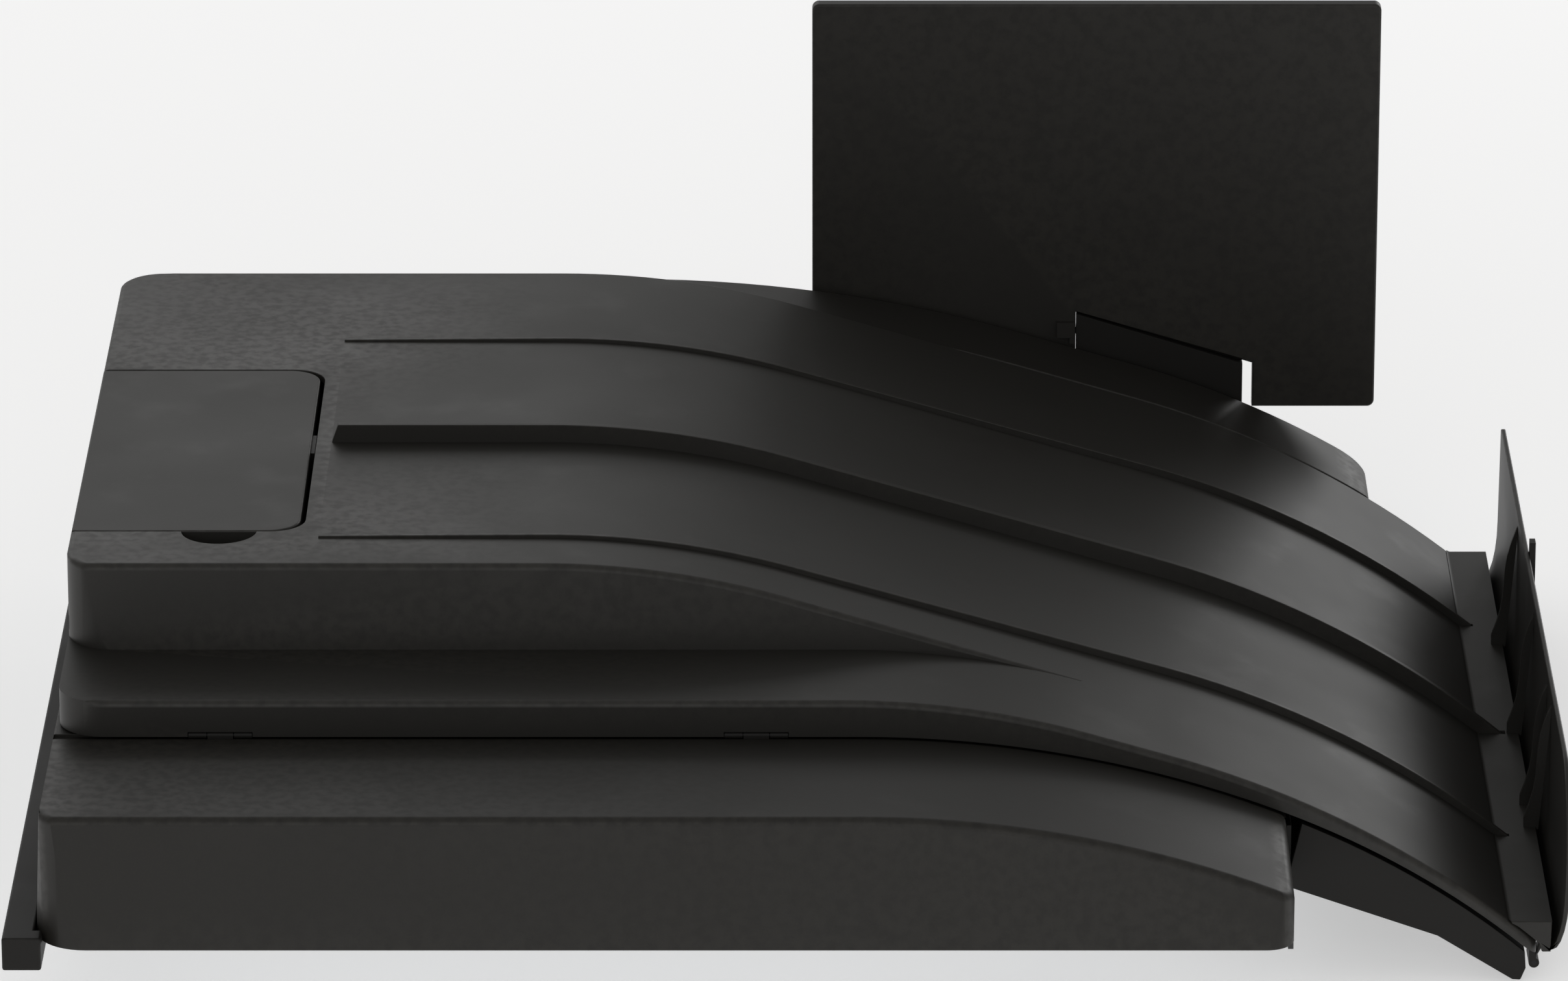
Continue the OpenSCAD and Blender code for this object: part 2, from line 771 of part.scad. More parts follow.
module feeder_frame() {
  color("#1f1f1f") difference() {
    union() {
      frame_outline(feeder_near - 2.5);
      frame_outline(feeder_far);
      // Cross rail that ties the plates
      box([-156, feeder_near - 1, 60.5], [-150, feeder_far + 1, 64]);
      rod_y(feeder_far + 2, gear_y + gear_w + 1, idler_at, idler_bore);
    }
    for (at = [feed_at, backing_at, exit_at])
      rod_y(feeder_near - 10, feeder_far + 10, at, shaft_r + fit);
    for (at = [feed_pinch_at, exit_pinch_at])
      rod_y(feeder_near - 10, feeder_far + 10, at, pinch_shaft_r + fit);
  }
}

module sheet_guide() {
  color("#262626") translate([0, roller_far, 0]) rotate([90, 0, 0]) linear_extrude(roller_far - roller_near)
    polygon([[-195, 56], [-184, 56], [-184, 60.5], [-160, 60.5], [-160, 67], [-167, 72], [-188, 69.5],
             [-193, 64]]);
}

module feeder_motor() {
  motor_near = gear_y + gear_w + 1;
  color("#55585c") difference() {
    union() {
      rod_y(motor_near + 1, motor_near + 33, motor_at, 10);
      box([motor_at[0] - 3, motor_near, motor_at[1] - 9],
          [motor_at[0] + 14, motor_near + 1.2, motor_at[1] + 9]);
      for (z = [-6, 6]) rod_y(feeder_far + 2.5, motor_near + 1, motor_at + [10.5, z], 1.5);
    }
    rod_y(motor_near - 1, motor_near + 8, motor_at, 2 + fit);
  }
}

module roller(at, r, phase) {
  rod_y(roller_near, roller_far, at, r);
  rod_y(feeder_near - 4, gear_y, at, shaft_r);
  gear(at, roller_teeth, phase, gear_y, gear_y + gear_w);
}

module feed_roller() {
  color("#4b4b4b") roller(feed_at, feed_r, feed_phase);
}

module backing_roller() {
  color("#e9e9e4") roller(backing_at, backing_r, backing_phase);
}

module exit_roller() {
  color("#4b4b4b") roller(exit_at, exit_r, exit_phase);
}

module pinch_rollers(at, r) {
  rod_y(feeder_near - 2, feeder_far + 2, at, pinch_shaft_r);
  for (y = [-100, -30, 40, 110]) rod_y(y, y + 24, at, r);
}

module feed_pinch_rollers() {
  color("#dcdcd8") pinch_rollers(feed_pinch_at, pinch_r);
}

module exit_pinch_rollers() {
  color("#dcdcd8") pinch_rollers(exit_pinch_at, exit_pinch_r);
}

module idler_gear() {
  color("#f0efe8") difference() {
    gear(idler_at, idler_teeth, idler_phase, gear_y, gear_y + gear_w);
    rod_y(gear_y - 1, gear_y + gear_w + 1, idler_at, idler_bore + fit);
  }
}

module motor_gear() {
  color("#d8c27a") {
    gear(motor_at, motor_teeth, motor_phase, gear_y, gear_y + gear_w);
    rod_y(gear_y + 1, gear_y + gear_w + 8, motor_at, 2);
  }
}

// ---- Feeder cover ----

module feeder_cover() {
  color("#3a3938") difference() {
    intersection() {
      linear_extrude(deck_h) cover_plan(0);
      box([lid_left, -200, skirt_low], [0, 200, deck_h]);
    }
    // Hollow below the top plate
    translate([0, 0, -1]) linear_extrude(deck_h - wall + 1)
      plan(lid_left + wall, cover_near + wall, cover_right - wall, cover_far - wall, [0, 10, 10, 0]);
    // Only the left side has a deep skirt
    box([lid_left + wall + 2, -200, 0], [0, 200, deck_h - 6]);
    for (y = cover_knuckle_y)
      box([lid_left - 1, y - 0.4, 80], [lid_left + 6, y + 14.4, cover_axis[1] + 2.6]);
    rod_y(cover_near - 1, cover_far + 1, cover_axis, 0.8 + fit);
  }
}

// Knuckles on the housing, between the cover's own
module cover_knuckles() {
  color("#2b2a29") for (y = cover_knuckle_y) difference() {
    union() {
      rod_y(y, y + 14, cover_axis, 1.7);
      box([cover_axis[0] - 1.5, y, skirt_low - 2], [cover_axis[0] + 1.5, y + 14, cover_axis[1]]);
    }
    rod_y(y - 1, y + 15, cover_axis, 0.8);
  }
}

module cover_pins() {
  color("#c8cacc") for (y = cover_knuckle_y) rod_y(y - 4, y + 18, cover_axis, 0.8);
}

module cover_latch() {
  color("#4c4b4a") {
    box([cover_right, 5, deck_h - 8], [cover_right + 1.6, 26.5, deck_h - 1.4]);
    box([cover_right - wall, 5, deck_h - 8], [cover_right + 1.6, 26.5, deck_h - 6]);
  }
}

// ---- Sheet stop ----

// Section of the stop's wall: leans out at its foot, then stands almost upright
stop_section = concat(
  [for (a = [0 : 15 : 90]) [bar_right - 0.6 + 6.2 * sin(a), bar_low + 1 + 26 * (1 - cos(a))]],
  [[stop_wall_top_x - 0.4, stop_top]]);

module stop_wall_outline() {
  // The wall's outline seen from the right end
  corner_r = 42;
  difference() {
    translate([lid_near + 0.5, bar_low]) square([lid_far - lid_near - 0.5, stop_top - bar_low]);
    translate([lid_near, stop_top - corner_r]) difference() {
      translate([-1, 0]) square([corner_r + 1, corner_r + 1]);
      translate([corner_r, 0]) circle(corner_r);
    }
  }
}

module paper_stop() {
  section = concat(stop_section,
    [for (i = [len(stop_section) - 1 : -1 : 0]) stop_section[i] + [stop_t, 0]]);
  floor_line = [for (p = tray_profile(step_h, step_r, lid_left, bar_right - 4))
    if (p[0] > bar_left - 2) p + [0, clear]];
  color("#3a3938") difference() {
    union() {
      intersection() {
        translate([0, lid_far, 0]) rotate([90, 0, 0]) linear_extrude(lid_far - lid_near)
          polygon(section);
        translate([bar_right - 4, 0, 0]) rotate([90, 0, 90]) linear_extrude(20) stop_wall_outline();
      }
      // Floor bar, lying on the tray's end
      translate([0, lid_far, 0]) rotate([90, 0, 0]) linear_extrude(lid_far - lid_near - 0.5)
        polygon(concat([[bar_left, bar_top]], floor_line,
                       [[bar_right - 3, bar_low], [bar_right + 0.5, bar_low], [bar_right + 0.8, bar_top]]));
      // Four wavy ribs on the wall's inner face
      for (y = stop_ribs)
        translate([0, y + 1, 0]) rotate([90, 0, 0]) linear_extrude(2)
          polygon(concat([[bar_right - 4, bar_top - 1]],
            [for (i = [0 : 8]) let (t = i / 8)
              [bar_right - 4 + 9.5 * t + 1.2 * sin(360 * t), bar_top + 4 + 48 * t]],
            [[stop_wall_top_x, bar_top + 54], [bar_right + 2, bar_top - 1]]));
      // Lugs beside those of the tray
      for (y = tray_lugs) stop_lug(y + lug_w + 0.3, 6);
    }
    rod_y(lid_near - 5, lid_far + 5, stop_axis, stop_pin_r + fit);
    for (rib = guide_ribs)
      box([bar_left - 3, rib[0] - 0.4, -40], [rib[2] + 0.7, rib[0] + rib[1] + 0.4, -10]);
  }
}

module stop_lug(y, w) {
  rod_y(y, y + w, stop_axis, stop_knuckle_r);
  translate([0, y + w, 0]) rotate([90, 0, 0]) linear_extrude(w)
    polygon([[stop_axis[0] + 0.4, stop_axis[1] - 1.6], [stop_axis[0] + 2, stop_axis[1]],
             [bar_right, bar_low + 1], [bar_right - 3, bar_low + 1]]);
}

// Lugs under the tray's end, which the stop swings on
module stop_lugs() {
  from = stop_axis[0] - 2;
  to = stop_axis[0] + 0.5;
  color("#2b2a29") difference() {
    for (y = tray_lugs) {
      rod_y(y, y + lug_w, stop_axis, stop_knuckle_r);
      translate([0, y + lug_w, 0]) rotate([90, 0, 0]) linear_extrude(lug_w)
        polygon([[from, stop_axis[1]], [to, stop_axis[1]], [to, tray_under(to) - 0.05],
                 [from, tray_under(from) - 0.05]]);
    }
    rod_y(lid_near - 5, lid_far + 5, stop_axis, stop_pin_r);
  }
}

module stop_pin() {
  color("#c8cacc") rod_y(tray_lugs[0], last(tray_lugs) + lug_w + 6, stop_axis, stop_pin_r);
}

// Upright tab on the wall's outer face
module stop_tab() {
  face = stop_wall_top_x + stop_t - 0.4;
  color("#2b2a29") translate([0, 79.5, 0]) rotate([90, 0, 0]) linear_extrude(5.5)
    polygon([[face - 0.27, 8], [face, stop_top], [face, 37], [face + 2.4, 37], [face + 2.4, 8]]);
}

// ---- Display ----

module display_outline(inset) {
  difference() {
    plan(display_left + inset, display_low + inset, display_right - inset, display_top - inset,
         [3, 3, 3, 3]);
    polygon([[cut_left - inset, 0], [cut_left - inset, cut_high + inset * 1.3],
             [cut_right + inset, cut_low + inset * 1.3], [cut_right + inset, 0]]);
  }
}

module upright(y0, y1) {
  translate([0, y1, 0]) rotate([90, 0, 0]) linear_extrude(y1 - y0) children();
}

module display_back() {
  color("#31302f") difference() {
    union() {
      difference() {
        upright(display_back_y, display_front_y - 1.2) display_outline(0);
        upright(display_back_y + 1.8, display_front_y) display_outline(1.8);
      }
      // Hinge lug beside the cut-out
      rod_x(cut_left - 8, cut_left - 0.2, display_axis, 2.2);
      box([cut_left - 8, display_back_y - 2.5, 56], [cut_left - 0.2, display_back_y + 2, 63]);
      box([cut_left - 2.4, display_back_y - 2, 53.2], [cut_left - 0.2, display_back_y + 1, 57.7]);
    }
    rod_x(cut_left - 7.2, cut_left + 1, display_axis, 1.5 + fit);
  }
}

module display_bezel() {
  lip_start = cut_left + 0.35;
  lip_end = cut_right - 4.3;
  color("#141414") upright(display_front_y - 1.2, display_front_y) {
    difference() {
      display_outline(0);
      translate([screen_area[0], screen_area[1]])
        square([screen_area[2] - screen_area[0], screen_area[3] - screen_area[1]]);
    }
    // Lip that closes the arm's clearance gap from the front
    polygon([[cut_left - 1, display_low + 1], [cut_left - 1, cut_edge(cut_left - 1) + 0.5],
             [lip_end, cut_edge(lip_end) + 0.5], [lip_end, cut_edge(lip_end, 1.95)],
             [lip_start, cut_edge(lip_start, 1.95)], [lip_start, display_low + 1]]);
  }
}

module display_screen() {
  color("#0c0f14") upright(display_front_y - 2.5, display_front_y - 1.2)
    translate([screen_area[0] - 4, screen_area[1] - 4])
      square([screen_area[2] - screen_area[0] + 8, screen_area[3] - screen_area[1] + 8]);
}

module display_board() {
  color("#1f6b3a") upright(display_back_y + 1.8, display_back_y + 2.8)
    translate([80, 84]) square([120, 80]);
}

base_shell();
base_pan();
pan_screws();
platen_glass();
feed_glass();
calibration_strip();
guide_rod();
rod_holders();
slide_rail();
drive_motor();
idler_post();
drive_belt();
main_board();
carriage_cable();
dock_socket();
left_rail();
right_flange();
tray_bracket();
console_shell();
display_arm();
display_pin();
hinge_blocks();
carriage_body();
carriage_bushes();
sensor_bar();
lens_strip();
lamp_bars();
belt_clamp();
motor_pulley();
idler_pulley();
power_button();
lid_shell();
lid_liner();
foam_pad();
backing_sheet();
lid_hinge_ears();
lid_hinge_pins();
feeder_frame();
sheet_guide();
feeder_motor();
stop_lugs();
cover_knuckles();
feeder_cover();
cover_latch();
cover_pins();
feed_roller();
backing_roller();
exit_roller();
feed_pinch_rollers();
exit_pinch_rollers();
idler_gear();
motor_gear();
paper_stop();
stop_tab();
stop_pin();
display_back();
display_bezel();
display_screen();
display_board();
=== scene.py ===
import json
import math
import bmesh
import bpy
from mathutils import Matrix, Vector

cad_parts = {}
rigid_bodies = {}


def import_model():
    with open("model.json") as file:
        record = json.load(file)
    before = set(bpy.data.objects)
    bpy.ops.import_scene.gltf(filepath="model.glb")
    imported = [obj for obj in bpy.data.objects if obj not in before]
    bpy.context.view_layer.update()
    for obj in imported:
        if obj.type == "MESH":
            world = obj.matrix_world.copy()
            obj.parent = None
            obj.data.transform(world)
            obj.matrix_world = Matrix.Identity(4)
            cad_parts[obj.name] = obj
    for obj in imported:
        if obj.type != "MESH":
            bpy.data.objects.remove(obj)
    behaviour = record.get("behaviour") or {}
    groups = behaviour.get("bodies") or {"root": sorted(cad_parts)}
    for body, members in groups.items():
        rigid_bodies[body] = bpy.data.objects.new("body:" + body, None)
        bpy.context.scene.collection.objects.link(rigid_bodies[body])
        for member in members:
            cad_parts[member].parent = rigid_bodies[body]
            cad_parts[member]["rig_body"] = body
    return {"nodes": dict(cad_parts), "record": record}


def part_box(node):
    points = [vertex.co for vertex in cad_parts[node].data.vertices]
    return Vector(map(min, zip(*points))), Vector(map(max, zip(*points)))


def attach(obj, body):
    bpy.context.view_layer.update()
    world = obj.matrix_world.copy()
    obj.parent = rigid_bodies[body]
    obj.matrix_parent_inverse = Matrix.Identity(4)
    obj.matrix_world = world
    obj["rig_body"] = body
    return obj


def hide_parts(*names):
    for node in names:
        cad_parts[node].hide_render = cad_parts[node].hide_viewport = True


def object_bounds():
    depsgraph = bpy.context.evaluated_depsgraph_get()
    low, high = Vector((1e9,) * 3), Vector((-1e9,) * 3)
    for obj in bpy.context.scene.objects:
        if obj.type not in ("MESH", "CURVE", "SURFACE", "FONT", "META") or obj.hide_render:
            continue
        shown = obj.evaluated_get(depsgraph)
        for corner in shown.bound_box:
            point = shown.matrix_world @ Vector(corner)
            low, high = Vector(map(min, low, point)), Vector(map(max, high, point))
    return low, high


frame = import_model()
nodes = frame["nodes"]
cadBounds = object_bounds()
mm = 0.001
print("stage: frame loaded,", len(nodes), "nodes")

cameraSetup = {
    "place": (0.059, -3.8526, 1.4895),
    "tilt": 70,          # degrees from straight down
    "lens": 230.54,
    "shift": -0.0214,
}


def makeCamera(setup):
    data = bpy.data.cameras.new("camera")
    data.lens = setup["lens"]
    data.sensor_width = 36
    data.shift_x = setup["shift"]
    data.clip_end = 30
    camera = bpy.data.objects.new("camera", data)
    camera.location = setup["place"]
    camera.rotation_euler = (math.radians(setup["tilt"]), 0, 0)
    bpy.context.scene.collection.objects.link(camera)
    bpy.context.scene.camera = camera


# A low softbox behind and to the left shades the steps, as in a product studio
lightSetup = {
    "ambient": 0.36,
    "ambientColour": (1.0, 0.995, 0.985),
    "lamps": [
        # name, place, aim, width and height, power in watts
        ("backLeft", (-1.1, 2.9, 1.5), (0.0, 0.1, 0.0), (2.6, 1.5), 9.5),
        ("backRight", (1.6, 2.6, 0.75), (0.3, 0.0, 0.0), (1.3, 0.9), 9),
        ("front", (-0.6, -3.4, 1.6), (0.0, 0.0, 0.0), (2.4, 2.0), 12),
    ],
}


def aimAt(thing, target):
    away = Vector(target) - thing.location
    thing.rotation_euler = away.to_track_quat("-Z", "Y").to_euler()


def makeLights(setup):
    for name, place, aim, size, power in setup["lamps"]:
        data = bpy.data.lights.new(name, "AREA")
        data.shape = "RECTANGLE"
        data.size, data.size_y = size
        data.energy = power
        lamp = bpy.data.objects.new(name, data)
        lamp.location = place
        aimAt(lamp, aim)
        bpy.context.scene.collection.objects.link(lamp)
    world = bpy.data.worlds.new("studio")
    world.use_nodes = True
    sky = world.node_tree.nodes["Background"]
    sky.inputs["Color"].default_value = (*setup["ambientColour"], 1)
    sky.inputs["Strength"].default_value = setup["ambient"]
    bpy.context.scene.world = world
    bpy.context.scene.view_settings.view_transform = "Standard"


makeCamera(cameraSetup)
makeLights(lightSetup)
print("stage: camera and lights")


class Wire:
    def __init__(self, graph, socket):
        self.graph = graph
        self.socket = socket

    def combine(self, operation, first, second):
        return self.graph.add("ShaderNodeMath", {"operation": operation}, {0: first, 1: second})

    def __add__(self, other):
        return self.combine("ADD", self, other)

    def __radd__(self, other):
        return self.combine("ADD", other, self)

    def __sub__(self, other):
        return self.combine("SUBTRACT", self, other)

    def __rsub__(self, other):
        return self.combine("SUBTRACT", other, self)

    def __mul__(self, other):
        return self.combine("MULTIPLY", self, other)

    def __rmul__(self, other):
        return self.combine("MULTIPLY", other, self)


class Graph:
    def __init__(self, name):
        self.material = bpy.data.materials.new(name)
        self.material.use_nodes = True
        self.tree = self.material.node_tree
        self.tree.nodes.clear()
        self.place = self.add("ShaderNodeTexCoord", {}, {}, "Object")

    def add(self, kind, settings=None, inputs=None, out=0):
        made = self.tree.nodes.new(kind)
        for key, value in (settings or {}).items():
            if key == "stops":
                ramp = made.color_ramp
                for spot, (at, shade) in zip(ramp.elements, value):
                    spot.position = at
                    spot.color = (shade, shade, shade, 1)
            else:
                setattr(made, key, value)
        for key, value in (inputs or {}).items():
            if isinstance(value, Wire):
                self.tree.links.new(value.socket, made.inputs[key])
            else:
                made.inputs[key].default_value = value
        return Wire(self, made.outputs[out])

    def noise(self, size, detail=2.0, stretch=None, rough=0.5):
        where = self.place
        if stretch:
            where = self.add("ShaderNodeMapping", {}, {"Vector": where, "Scale": stretch})
        return self.add("ShaderNodeTexNoise", {},
                        {"Vector": where, "Scale": 1 / size, "Detail": detail, "Roughness": rough})

    def ramp(self, wire, low, high, dark=0.0, bright=1.0):
        return self.add("ShaderNodeValToRGB", {"stops": [(low, dark), (high, bright)]}, {"Fac": wire})

    def blend(self, factor, first, second):
        return self.add("ShaderNodeMix", {"data_type": "RGBA"}, {0: factor, 6: first, 7: second}, 2)

    def bump(self, height, depth, strength=1.0, under=None):
        inputs = {"Height": height, "Distance": depth, "Strength": strength}
        if under:
            inputs["Normal"] = under
        return self.add("ShaderNodeBump", {}, inputs)

    def finish(self, **values):
        shader = self.tree.nodes.new("ShaderNodeBsdfPrincipled")
        for key, value in values.items():
            socket = shader.inputs[key.replace("_", " ")]
            if isinstance(value, Wire):
                self.tree.links.new(value.socket, socket)
            else:
                socket.default_value = value
        output = self.tree.nodes.new("ShaderNodeOutputMaterial")
        self.tree.links.new(shader.outputs[0], output.inputs["Surface"])
        return self.material


def shade(colour, factor):
    return tuple(min(1, c * factor) for c in colour) + (1,)


patternSize = {          # metres across one patch
    "cloud": 0.09,
    "handling": 0.035,
    "wearBreaks": 0.004,
    "wave": 0.12,
}


# Spark-eroded ABS, as moulded office equipment has
def texturedPlastic(name, look):
    g = Graph(name)
    cloud = g.ramp(g.noise(patternSize["cloud"], 3), 0.3, 0.7)
    speck = g.noise(look["grain"] * 1.6, 1)
    colour = look["colour"]
    tint = g.blend(cloud, shade(colour, 1 - look["vary"]), shade(colour, 1 + look["vary"]))
    tint = g.blend(g.ramp(speck, 0.42, 0.68, 0.0, look["speck"]), tint, shade(colour, 2.2))
    handled = g.ramp(g.noise(patternSize["handling"], 4, rough=0.6), 0.55, 0.78)
    edge = g.add("ShaderNodeAttribute", {"attribute_name": "edge"}, {}, "Fac")
    worn = edge * g.ramp(g.noise(patternSize["wearBreaks"], 3), 0.35, 0.6)
    tint = g.blend(worn * look["wear"], tint, shade(colour, 3.0))
    rough = look["rough"] + (cloud - 0.5) * 0.06 - handled * 0.05 - worn * 0.08
    grain = g.noise(look["grain"], 2)
    pits = g.add("ShaderNodeTexVoronoi", {"feature": "SMOOTH_F1"},
                 {"Vector": g.place, "Scale": 1 / (look["grain"] * 1.8), "Smoothness": 0.6})
    wave = g.bump(g.noise(patternSize["wave"], 1), 0.00012, 0.5)
    fine = g.bump(grain * 0.6 + pits * 0.4, look["depth"], 0.6, wave)
    return g.finish(Base_Color=tint, Roughness=rough, Normal=fine, Specular_IOR_Level=look["gloss"])


def smoothPlastic(name, look):
    g = Graph(name)
    cloud = g.ramp(g.noise(0.03, 3), 0.3, 0.7)
    tint = g.blend(cloud, shade(look["colour"], 0.93), shade(look["colour"], 1.06))
    scuff = g.ramp(g.noise(0.006, 5, (1, 6, 1), 0.65), 0.5, 0.75)
    rough = look["rough"] + scuff * 0.12 + (cloud - 0.5) * 0.05
    return g.finish(Base_Color=tint, Roughness=rough, Normal=g.bump(g.noise(0.0012, 2), 0.00002, 0.6),
                    Specular_IOR_Level=0.45)


def metal(name, look):
    g = Graph(name)
    lines = g.noise(look["line"], 2, look["stretch"])
    stain = g.ramp(g.noise(0.03, 4), 0.35, 0.75)
    tint = g.blend(stain, shade(look["colour"], 0.86), shade(look["colour"], 1.08))
    rough = look["rough"] + lines * 0.14 + stain * 0.08
    return g.finish(Base_Color=tint, Roughness=rough, Metallic=look["metallic"],
                    Normal=g.bump(lines, look["depth"], 0.7))


def rubber(name, look):
    g = Graph(name)
    dust = g.ramp(g.noise(0.008, 4), 0.45, 0.8)
    tint = g.blend(dust * 0.5, shade(look["colour"], 1.0), shade(look["colour"], 1.9))
    cells = g.add("ShaderNodeTexVoronoi", {"feature": "F1"}, {"Vector": g.place, "Scale": 1 / look["cell"]})
    rough = look["rough"] + dust * 0.1
    return g.finish(Base_Color=tint, Roughness=rough, Normal=g.bump(cells, look["depth"], 0.7),
                    Specular_IOR_Level=0.3)


def circuitBoard(name):
    g = Graph(name)
    tracks = g.add("ShaderNodeTexBrick", {"offset": 0.5},
                   {"Vector": g.place, "Scale": 90.0, "Color1": (0.012, 0.13, 0.05, 1),
                    "Color2": (0.016, 0.17, 0.07, 1), "Mortar": (0.03, 0.28, 0.12, 1),
                    "Mortar Size": 0.03})
    rough = 0.32 + g.noise(0.01, 3) * 0.15
    return g.finish(Base_Color=tracks, Roughness=rough, Coat_Weight=0.3,
                    Normal=g.bump(g.noise(0.002, 2), 0.00003, 0.5))


def sheetGlass(name):
    g = Graph(name)
    smear = g.ramp(g.noise(0.03, 5, (1, 2.4, 1), 0.6), 0.5, 0.78)
    return g.finish(Base_Color=(0.9, 0.97, 0.95, 1), Roughness=0.02 + smear * 0.06, IOR=1.5,
                    Transmission_Weight=0.94, Normal=g.bump(g.noise(0.2, 1), 0.00005, 0.3))


def darkScreen(name):
    g = Graph(name)
    smear = g.ramp(g.noise(0.022, 5, (1.0, 1.0, 0.6), 0.65), 0.48, 0.8)
    tint = g.blend(smear, (0.004, 0.005, 0.007, 1), (0.012, 0.014, 0.017, 1))
    return g.finish(Base_Color=tint, Roughness=0.06 + smear * 0.14, Coat_Weight=0.6,
                    Normal=g.bump(g.noise(0.25, 1), 0.00004, 0.3))


plastics = {
    "housing": dict(colour=(0.0158, 0.0146, 0.0124), vary=0.03, rough=0.5, gloss=0.36,
                    grain=0.0005, depth=0.00003, speck=0.10, wear=0.30),
    "lid_plastic": dict(colour=(0.0178, 0.0166, 0.0142), vary=0.03, rough=0.5, gloss=0.42,
                        grain=0.0005, depth=0.00003, speck=0.10, wear=0.30),
    "dark_plastic": dict(colour=(0.0115, 0.0107, 0.0094), vary=0.04, rough=0.54, gloss=0.26,
                         grain=0.0005, depth=0.00003, speck=0.08, wear=0.25),
}
finishes = {name: texturedPlastic(name, look) for name, look in plastics.items()}

# line is the width of a brushed or ground mark, stretch its direction, depth its relief
metals = {
    "steel_sheet": ("zincSheet", dict(colour=(0.5, 0.51, 0.52), rough=0.34, line=0.004,
                                      stretch=(1, 14, 1), depth=0.00003, metallic=0.95)),
    "steel_pin": ("groundSteel", dict(colour=(0.62, 0.63, 0.64), rough=0.2, line=0.001,
                                      stretch=(14, 1, 14), depth=0.00001, metallic=1.0)),
    "blackened": ("blackenedSteel", dict(colour=(0.03, 0.03, 0.032), rough=0.45, line=0.001,
                                         stretch=(14, 1, 14), depth=0.00001, metallic=0.7)),
    "painted_steel": ("paintedSteel", dict(colour=(0.045, 0.045, 0.046), rough=0.42, line=0.0012,
                                           stretch=(1, 1, 1), depth=0.00005, metallic=0.1)),
    "motor_case": ("motorCase", dict(colour=(0.12, 0.12, 0.125), rough=0.36, line=0.002,
                                     stretch=(1, 1, 8), depth=0.00003, metallic=0.6)),
    "bronze": ("sinteredBronze", dict(colour=(0.5, 0.36, 0.18), rough=0.4, line=0.0006,
                                      stretch=(1, 1, 1), depth=0.00006, metallic=1.0)),
}
rubbers = {
    "foam": ("padFoam", dict(colour=(0.2, 0.2, 0.2), cell=0.0007, depth=0.0003, rough=0.9)),
    "roller_rubber": ("rollerRubber", dict(colour=(0.05, 0.05, 0.05), cell=0.0012,
                                           depth=0.0001, rough=0.7)),
    "belt": ("driveBelt", dict(colour=(0.012, 0.012, 0.012), cell=0.002, depth=0.0001, rough=0.62)),
}
for slot, (name, look) in metals.items():
    finishes[slot] = metal(name, look)
for slot, (name, look) in rubbers.items():
    finishes[slot] = rubber(name, look)
finishes["clear_glass"] = sheetGlass("platenGlass")
finishes["screen"] = darkScreen("screenGlass")
finishes["lens_glass"] = darkScreen("lensGlass")
finishes["white_plastic"] = smoothPlastic("whitePlastic", dict(colour=(0.78, 0.78, 0.75), rough=0.5))
finishes["gear_plastic"] = smoothPlastic("acetal", dict(colour=(0.72, 0.70, 0.62), rough=0.42))
finishes["board"] = circuitBoard("circuitBoard")

slotOf = {part["node"]: part["material_slot"] for part in frame["record"]["subparts"]}


blackPins = ("stop_pin", "lid_hinge_pins", "display_pin")     # pins that show at a joint


def dressNode(node):
    finish = finishes["blackened" if node in blackPins else slotOf[node]]
    slots = nodes[node].data.materials
    if len(slots) == 0:
        slots.append(finish)
    for i in range(len(slots)):
        slots[i] = finish


for node in nodes:
    dressNode(node)
print("stage: finishes on", len(nodes), "nodes")

edgeAngle = math.radians(28)      # sharper than this counts as an edge
smoothAngle = math.radians(32)    # sharper than this is shaded as a crease
flatAngle = math.radians(0.3)     # facets closer than this are one face
weld = 0.003 * mm


def weldedCopy(node):
    bm = bmesh.new()
    bm.from_mesh(nodes[node].data)
    bmesh.ops.remove_doubles(bm, verts=bm.verts, dist=weld)
    bmesh.ops.dissolve_degenerate(bm, edges=bm.edges, dist=weld)
    bmesh.ops.dissolve_limit(bm, angle_limit=flatAngle, use_dissolve_boundaries=False,
                             verts=bm.verts, edges=bm.edges)
    return bm


# An edge between a face that looks up and one that doesn't
def isTopEdge(edge):
    ups = sorted(f.normal.z for f in edge.link_faces)
    return ups[0] < 0.35 and ups[1] > 0.55


# weigh gives how much of the full radius an edge gets, from its middle in millimetres
def markEdges(bm, weigh):
    layer = bm.edges.layers.float.new("bevel_weight_edge")
    bm.normal_update()
    for edge in bm.edges:
        if len(edge.link_faces) != 2 or edge.calc_face_angle_signed() < edgeAngle:
            continue
        middle = (edge.verts[0].co + edge.verts[1].co) / 2
        edge[layer] = max(0, min(1, weigh(edge, middle / mm)))


# Marks the points inside a rounded edge, for light wear there
def tagRoundedEdges(mesh, width):
    bm = bmesh.new()
    bm.from_mesh(mesh)
    layer = bm.verts.layers.float.new("edge")
    limit = width * 0.9
    for vert in bm.verts:
        narrow = all(min(e.calc_length() for e in f.edges) < limit for f in vert.link_faces)
        turning = sum(max(0, e.calc_face_angle_signed(0)) for e in vert.link_edges)
        vert[layer] = min(1, turning / 0.8) if narrow else 0
    for edge in bm.edges:
        edge.smooth = edge.calc_face_angle(0) < smoothAngle
    for face in bm.faces:
        face.smooth = True
    bm.to_mesh(mesh)
    bm.free()


